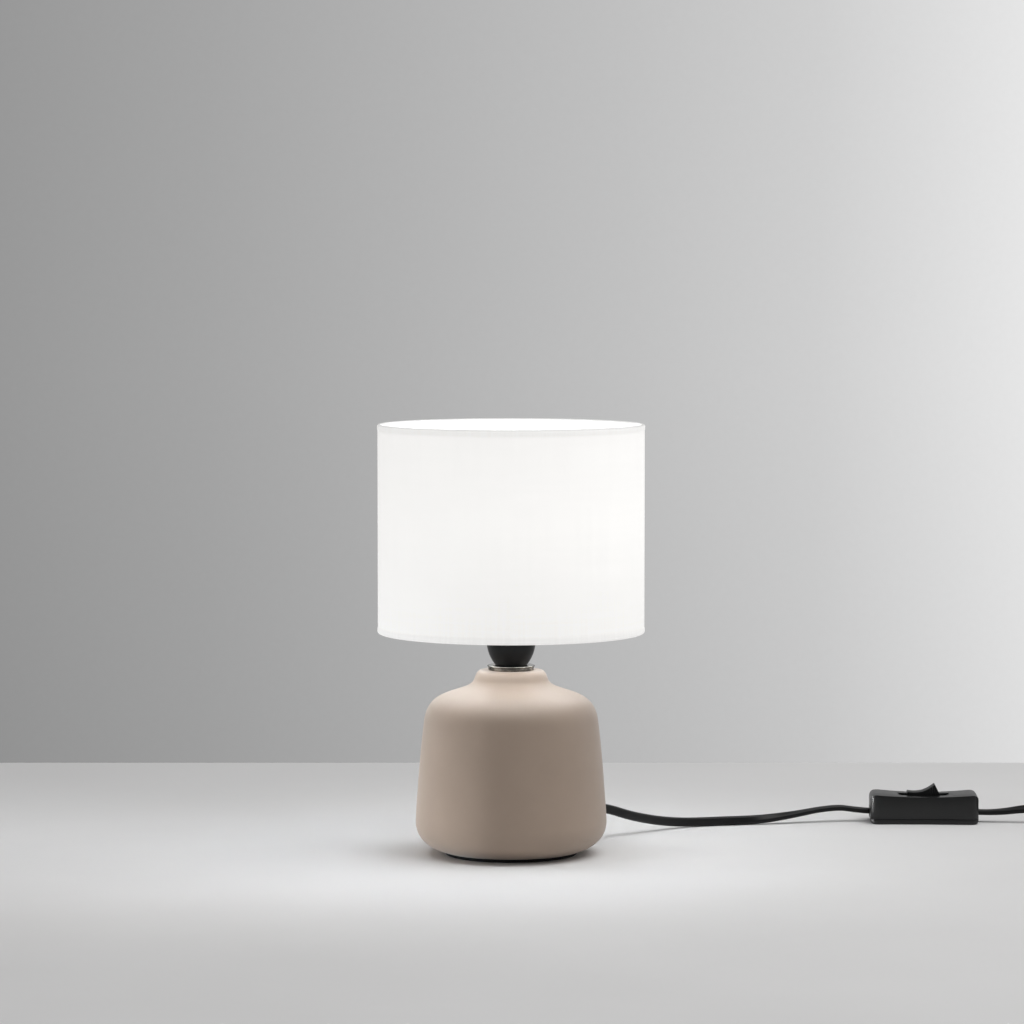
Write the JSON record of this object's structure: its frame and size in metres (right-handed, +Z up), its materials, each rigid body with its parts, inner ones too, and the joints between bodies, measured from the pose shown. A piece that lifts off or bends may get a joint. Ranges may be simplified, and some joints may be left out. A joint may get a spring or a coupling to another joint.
{
  "type": "table lamp",
  "caption": "Small table lamp: rounded ceramic body, drum fabric shade on a wire spider, screw-in globe bulb, flat cord with in-line rocker switch and two-pin plug.",
  "frame": {"origin": "centre of the lamp's foot, on the surface it stands on", "axes": "+Z up along the lamp's axis; the cord leaves the body between +X and +Y and lies towards +X; the shade's seam is on the +Y side"},
  "size_m": [0.5847, 0.2786, 0.2499],
  "materials": {
    "ceramic": "matt taupe glaze",
    "foam": "black foam pad",
    "steel": "zinc-plated steel",
    "nickel": "polished nickel",
    "holder_black": "black thermoplastic, satin",
    "black_plastic": "black plastic, satin",
    "porcelain": "unglazed porcelain",
    "brass": "bright brass",
    "cord_pvc": "black PVC sheath, satin",
    "brown_core": "brown insulation",
    "blue_core": "blue insulation",
    "bulb_opal": "opal diffuser, lit",
    "white_plastic": "white plastic",
    "shade_fabric": "plain-woven fabric on a plastic backing, lit from inside",
    "white_enamel": "white powder coat"
  },
  "bodies": {
    "lamp": {"ceramic_body": "ceramic", "foot_pad": "foam", "threaded_tube": "steel", "tube_washer": "steel", "tube_nut": "steel", "neck_cap": "nickel", "holder_cap": "holder_black", "holder_barrel": "holder_black", "holder_insert": "porcelain", "holder_screw_shell": "nickel", "centre_contact": "brass", "side_contact": "brass", "holder_terminal_screw_1": "brass", "holder_terminal_screw_2": "brass", "inner_lead": "cord_pvc", "live_core": "brown_core", "neutral_core": "blue_core", "cord_bushing": "black_plastic", "cord_lamp_side": "cord_pvc", "cord_plug_side": "cord_pvc", "cord_tail": "cord_pvc", "cord_coil": "cord_pvc", "coil_tie": "cord_pvc", "switch_upper_shell": "black_plastic", "switch_lower_cover": "black_plastic", "switch_case_screw_1": "steel", "switch_case_screw_2": "steel", "switch_terminal_in": "brass", "switch_terminal_screw_in": "steel", "cord_clamp_in": "black_plastic", "cord_clamp_screw_in": "steel", "switch_terminal_out": "brass", "switch_terminal_screw_out": "steel", "cord_clamp_out": "black_plastic", "cord_clamp_screw_out": "steel", "switch_live_core_in": "brown_core", "switch_live_core_out": "brown_core", "switch_through_core": "blue_core", "plug_body": "black_plastic", "plug_pin_1": "nickel", "plug_pin_sleeve_1": "black_plastic", "plug_pin_2": "nickel", "plug_pin_sleeve_2": "black_plastic"},
    "shade": {"shade_fabric": "shade_fabric", "shade_top_wire": "white_enamel", "shade_bottom_wire": "white_enamel", "spider_hub": "white_enamel", "spider_arm_1": "white_enamel", "spider_arm_2": "white_enamel", "spider_arm_3": "white_enamel"},
    "ring": {"shade_ring": "holder_black"},
    "bulb_tip": {"bulb_tip_contact": "nickel", "bulb_insulator": "black_plastic"},
    "bulb": {"bulb_cap": "nickel", "bulb_collar": "white_plastic", "bulb_globe": "bulb_opal"},
    "rocker": {"rocker": "black_plastic", "rocker_spring": "steel", "rocker_plunger": "white_plastic"},
    "blade": {"contact_blade": "brass"}
  },
  "joints": [
    {"name": "shade_turn", "type": "hinge", "parent": "lamp", "child": "shade", "pos_m": [0, 0, 0.1392], "axis": [0, 0, 1], "continuous": true},
    {"name": "ring_travel", "type": "slide", "parent": "lamp", "child": "ring", "axis": [0, 0, 1], "range_m": [0, 0.008]},
    {"name": "bulb_lift", "type": "slide", "parent": "lamp", "child": "bulb_tip", "axis": [0, 0, 1], "range_m": [0, 0.01694]},
    {"name": "bulb_turn", "type": "hinge", "parent": "bulb_tip", "child": "bulb", "pos_m": [0, 0, 0.15], "axis": [0, 0, 1], "range_deg": [0, 2160]},
    {"name": "rocker_tilt", "type": "hinge", "parent": "lamp", "child": "rocker", "pos_m": [0.2529, 0.1306, 0.0142], "axis": [0.0436, 0.999, 0], "range_deg": [0, 30]},
    {"name": "blade_tilt", "type": "hinge", "parent": "lamp", "child": "blade", "pos_m": [0.2529, 0.1306, 0.0064], "axis": [0.0436, 0.999, 0], "range_deg": [-15, 0]}
  ],
  "couplings": [
    {"joint": "bulb_lift", "follows": "bulb_turn", "m_per_rad": 0.00044913},
    {"joint": "blade_tilt", "follows": "rocker_tilt", "ratio": -0.5}
  ]
}
